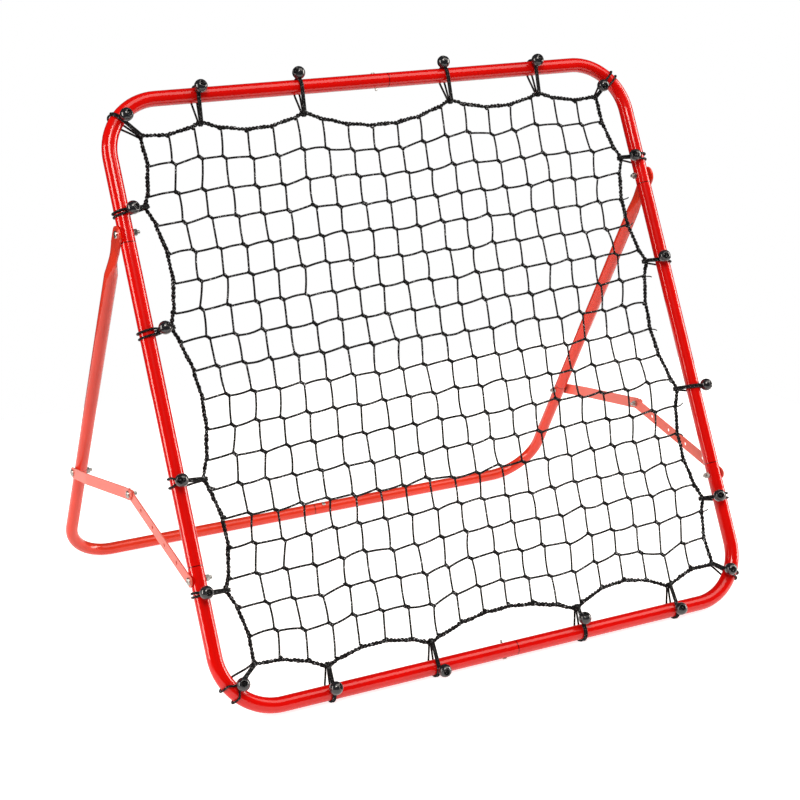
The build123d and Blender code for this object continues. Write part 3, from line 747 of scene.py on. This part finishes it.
def tie_axes(face, kind, pull, shift):
    """A tie's place: the tube's centre it goes round, the direction towards the net, the
    direction along the tube, and the distance to the border, in millimetres."""
    x, up = pull
    if kind in ("top", "bottom"):
        centre = np.array([x + shift, FRAME_HEIGHT if kind == "top" else 0.0])
    elif kind in ("left", "right"):
        centre = np.array([HALF_WIDTH if kind == "right" else -HALF_WIDTH, up + shift])
    else:
        bend = np.array([
            math.copysign(HALF_WIDTH - CORNER_RADIUS, x),
            FRAME_HEIGHT - CORNER_RADIUS if up > FRAME_HEIGHT / 2 else CORNER_RADIUS,
        ])
        centre = bend + unit(np.array([x, up]) - bend) * CORNER_RADIUS
    run = np.array([x, up]) - centre
    toward = unit(run)
    return centre, toward, np.array([-toward[1], toward[0]]), np.linalg.norm(run)


def ease(share):
    """Share held to 0 to 1 and eased as 3 s^2 - 2 s^3."""
    share = np.clip(share, 0, 1)
    return share**2 * (3 - 2 * share)


def tie_loops(face, kind, tie, together, spread, sizes):
    """A tie's two strands: each is a belt round the tube and the border rope, two arcs
    joined by tangents. They lie together from the border to a little past the ball, spread
    apart to go round the tube, and close again behind it on the way to the border."""
    pull, shift, ball_in, _ = tie
    centre, toward, sideways, reach = tie_axes(face, kind, pull, shift)
    big, small = FRAME_TUBE_RADIUS + sizes.gap + sizes.cord, sizes.eye
    lean = math.acos((big - small) / reach)
    around = np.linspace(lean, FULL_TURN - lean, TUBE_ARC_STEPS)
    turn = np.linspace(-lean, lean, EYE_STEPS)
    arc = np.stack([big * np.cos(around), big * np.sin(around)], -1)
    eye = np.stack([reach + small * np.cos(turn), small * np.sin(turn)], -1)
    t = np.linspace(0, 1, STRAIGHT_STEPS + 2)[1:-1, None]
    belt = np.concatenate([arc, arc[-1] + t * (eye[0] - arc[-1]), eye, eye[-1] + t * (arc[0] - eye[-1])])
    step = np.linalg.norm(np.roll(belt, -1, 0) - belt, axis=-1)
    travel = np.concatenate([[0.0], step.cumsum()[:-1]])
    behind = belt[:, 1] < 0
    ball = np.argmin(np.hypot(belt[:, 0] - ball_in, belt[:, 1] - big) + FRAME_HEIGHT * behind)
    past = (travel - travel[ball]) % step.sum()
    left = (travel[len(arc) + len(t)] - travel[ball]) % step.sum() - past
    apart = ease((past - together) / sizes.part_length) * ease(left / sizes.close_length)
    spread = sizes.rope_spread + (spread - sizes.rope_spread) * apart
    strands = []
    for side in (-1, 1):
        flat = centre + belt[:, :1] * toward + side * spread[:, None] * sideways
        strands.append(face.places(flat[:, 0], flat[:, 1], belt[:, 1]))
    return np.stack(strands), unit(face.places(*sideways) - face.rail)


def ball_place(face, kind, tie, sizes):
    """Where a ball's centre is: threaded on its cord, against the tube or beside the strand
    towards the net."""
    pull, shift, ball_in, ball_side = tie
    centre, toward, sideways, reach = tie_axes(face, kind, pull, shift)
    outside = FRAME_TUBE_RADIUS + 2 * sizes.gap + sizes.ball
    tilt = (FRAME_TUBE_RADIUS + sizes.gap - sizes.eye) / reach
    if ball_in < outside * tilt:
        front = math.sqrt(outside**2 - ball_in**2)
    else:
        front = (outside - ball_in * tilt) / math.sqrt(1 - tilt**2)
    flat = centre + ball_in * toward + ball_side * sideways
    return face.places(flat[0], flat[1], front), unit(front * face.front + ball_in * (
        toward[0] * face.right + toward[1] * face.up))


class LoopTies(bpy.types.Operator):
    """Loop the elastic ties round the tubes and the border"""

    bl_idname = "rebounder.loop_ties"
    bl_label = "Loop ties"

    def execute(self, context):
        sizes, colours = context.scene.rebounder_ties, context.scene.rebounder_colours
        face = Face(context.scene.rebounder_net.lean)
        finish = twisted_cord("elastic_cord", colours.black, colours.fleck_and_glint, plies=6, pitch=10 * MM,
                              depth=0.5 * MM, roughness=0.6, fleck_and_glint=0.45)
        for kind, ties in TIES.items():
            places = zip(ties, TOGETHER[kind], SPREAD[kind])
            loops = [tie_loops(face, kind, *place, sizes) for place in places]
            shapes = [
                swept(strands, sizes.cord * MM, along, sides=8, closed=True) for strands, along in loops
            ]
            make_piece(f"elastic_ties_{kind}", shapes, finish, "front_frame", "elastic_cord",
                       f"tie_cords_{kind}")
        return {"FINISHED"}


class ThreadBalls(bpy.types.Operator):
    """Thread the balls on their ties, each with a knot in its recess"""

    bl_idname = "rebounder.thread_balls"
    bl_label = "Thread balls"

    def execute(self, context):
        sizes, colours = context.scene.rebounder_ties, context.scene.rebounder_colours
        face = Face(context.scene.rebounder_net.lean)
        gloss = ball_gloss(colours.ball)
        cord = twisted_cord("ball_knot", colours.black, colours.fleck_and_glint, plies=6, pitch=8 * MM,
                            depth=0.4 * MM, roughness=0.6, fleck_and_glint=0.5)
        rng = np.random.default_rng(BALL_SEED)
        rim = math.asin(sizes.recess / sizes.ball)
        rim_height = sizes.ball * math.cos(rim)
        back_hole, rim_gap = 0.2, 0.06
        polar = np.linspace(math.pi - back_hole, rim + rim_gap, BALL_STEPS)
        down = np.array([-0.1, -0.6, -0.8 * sizes.recess_depth, -sizes.recess_depth])
        narrow = np.array([0.15, 0.6, 0.9, 1.6])
        along = np.concatenate([sizes.ball * np.cos(polar), rim_height + down])
        radius = np.concatenate([sizes.ball * np.sin(polar), sizes.recess - narrow])
        twist = np.linspace(0, FULL_TURN, CORD_KNOT_STEPS, endpoint=False)
        wide = np.sin(twist) + 2 * np.sin(2 * twist)
        tall = np.cos(twist) - 2 * np.cos(2 * twist)
        deep = BALL_KNOT_DEPTH * -np.sin(3 * twist) + rim_height - BALL_KNOT_SINK * sizes.recess_depth
        outward, forward, wobble, slope = 0.75, 0.55, 0.28, 0.3
        for kind, ties in TIES.items():
            balls, knots = [], []
            for tie in ties:
                centre, out = ball_place(face, kind, tie, sizes)
                aim = unit(outward * out + forward * face.front + rng.normal(0, wobble, 3))
                across = unit(np.cross(aim, face.right + slope * face.up))
                other = np.cross(aim, across)
                path = centre + MM * along[:, None] * aim
                balls.append(swept(path[None], radius * MM, across, sides=22, tangents=aim))
                flat = BALL_KNOT_WIDTH * (wide[:, None] * across + tall[:, None] * other)
                knot = centre + MM * (flat + deep[:, None] * aim)
                knots.append(swept(knot[None], BALL_KNOT_RADIUS * MM, aim, sides=6, closed=True))
            make_piece(f"balls_{kind}", balls, gloss, "front_frame", "black_ball", f"tie_balls_{kind}")
            make_piece(f"ball_knots_{kind}", knots, cord, "front_frame", "elastic_cord")
        return {"FINISHED"}


class SetStage(bpy.types.Operator):
    """Set the floor, the soft lights and the camera"""

    bl_idname = "rebounder.set_stage"
    bl_label = "Set stage"

    def execute(self, context):
        scene = context.scene
        half = FLOOR_HALF
        corners = [(-half, -half, 0), (half, -half, 0), (half, half, 0), (-half, half, 0)]
        mesh = bpy.data.meshes.new("floor")
        mesh.from_pydata(corners, [], [(0, 1, 2, 3)])
        mesh.materials.append(floor_white(scene.rebounder_colours.floor))
        floor = bpy.data.objects.new("floor", mesh)
        scene.collection.objects.link(floor)

        world = bpy.data.worlds.new("studio")
        world.use_nodes = True
        tree = world.node_tree
        path, seen = tree.nodes.new("ShaderNodeLightPath"), tree.nodes.new("ShaderNodeMapRange")
        tree.links.new(path.outputs["Is Camera Ray"], seen.inputs["Value"])
        seen.inputs["To Min"].default_value = WORLD_LIGHT
        tree.links.new(seen.outputs["Result"], tree.nodes["Background"].inputs["Strength"])
        tree.nodes["Background"].inputs["Color"].default_value = (1.0, 1.0, 1.0, 1.0)
        scene.world = world
        scene.view_settings.view_transform = "Standard"

        lean = scene.rebounder_net.lean
        axes = {
            "upright": Vector((0.0, math.sin(lean), math.cos(lean))),
            "sideways": Vector((1.0, 0.0, 0.0)),
        }
        for name, (place, axis, width, length, power) in LAMPS.items():
            light = bpy.data.lights.new(name, "AREA")
            light.color = LAMP_COLOUR
            light.shape, light.size, light.size_y, light.energy = "RECTANGLE", width, length, power
            lamp = bpy.data.objects.new(name, light)
            lamp.location = place
            back = (Vector(place) - Vector(TARGET)).normalized()
            across = axes[axis].cross(back).normalized()
            turn = Matrix((across, back.cross(across), back)).transposed()
            lamp.rotation_mode = "QUATERNION"
            lamp.rotation_quaternion = turn.to_quaternion()
            scene.collection.objects.link(lamp)

        camera = bpy.data.cameras.new("view")
        camera.lens, camera.sensor_width = CAMERA_LENS, SENSOR_WIDTH
        eye = bpy.data.objects.new("view", camera)
        eye.location = CAMERA_PLACE
        eye.rotation_mode = "QUATERNION"
        roll = Quaternion((0.0, 0.0, 1.0), math.radians(CAMERA_ROLL))
        eye.rotation_quaternion = Vector(CAMERA_AIM).to_track_quat("-Z", "Y") @ roll
        scene.collection.objects.link(eye)
        scene.camera = eye
        return {"FINISHED"}


class RebounderPanel(bpy.types.Panel):
    """Sizes, colours and the steps that make the rebounder"""

    bl_idname = "VIEW3D_PT_rebounder"
    bl_label = "Rebounder"
    bl_space_type = "VIEW_3D"
    bl_region_type = "UI"
    bl_category = "Rebounder"

    def draw(self, context):
        for group_name in GROUPS:
            group, box = getattr(context.scene, group_name), self.layout.box()
            for name in group.__annotations__:
                box.prop(group, name)
        for operator in OPERATORS:
            self.layout.operator(operator.bl_idname)


OPERATORS = (FinishFrame, TieNet, LayBorder, LoopTies, ThreadBalls, SetStage)
GROUPS = {"rebounder_net": NetSizes, "rebounder_ties": TieSizes, "rebounder_colours": Colours}


def register():
    for kind in (*GROUPS.values(), *OPERATORS, RebounderPanel):
        bpy.utils.register_class(kind)
    for name, group in GROUPS.items():
        setattr(bpy.types.Scene, name, PointerProperty(type=group))


def unregister():
    for name in GROUPS:
        delattr(bpy.types.Scene, name)
    for kind in (RebounderPanel, *reversed(OPERATORS), *reversed(GROUPS.values())):
        bpy.utils.unregister_class(kind)


def main():
    register()
    for operator in OPERATORS:
        group, name = operator.bl_idname.split(".")
        getattr(getattr(bpy.ops, group), name)()


if __name__ == "__main__":
    main()
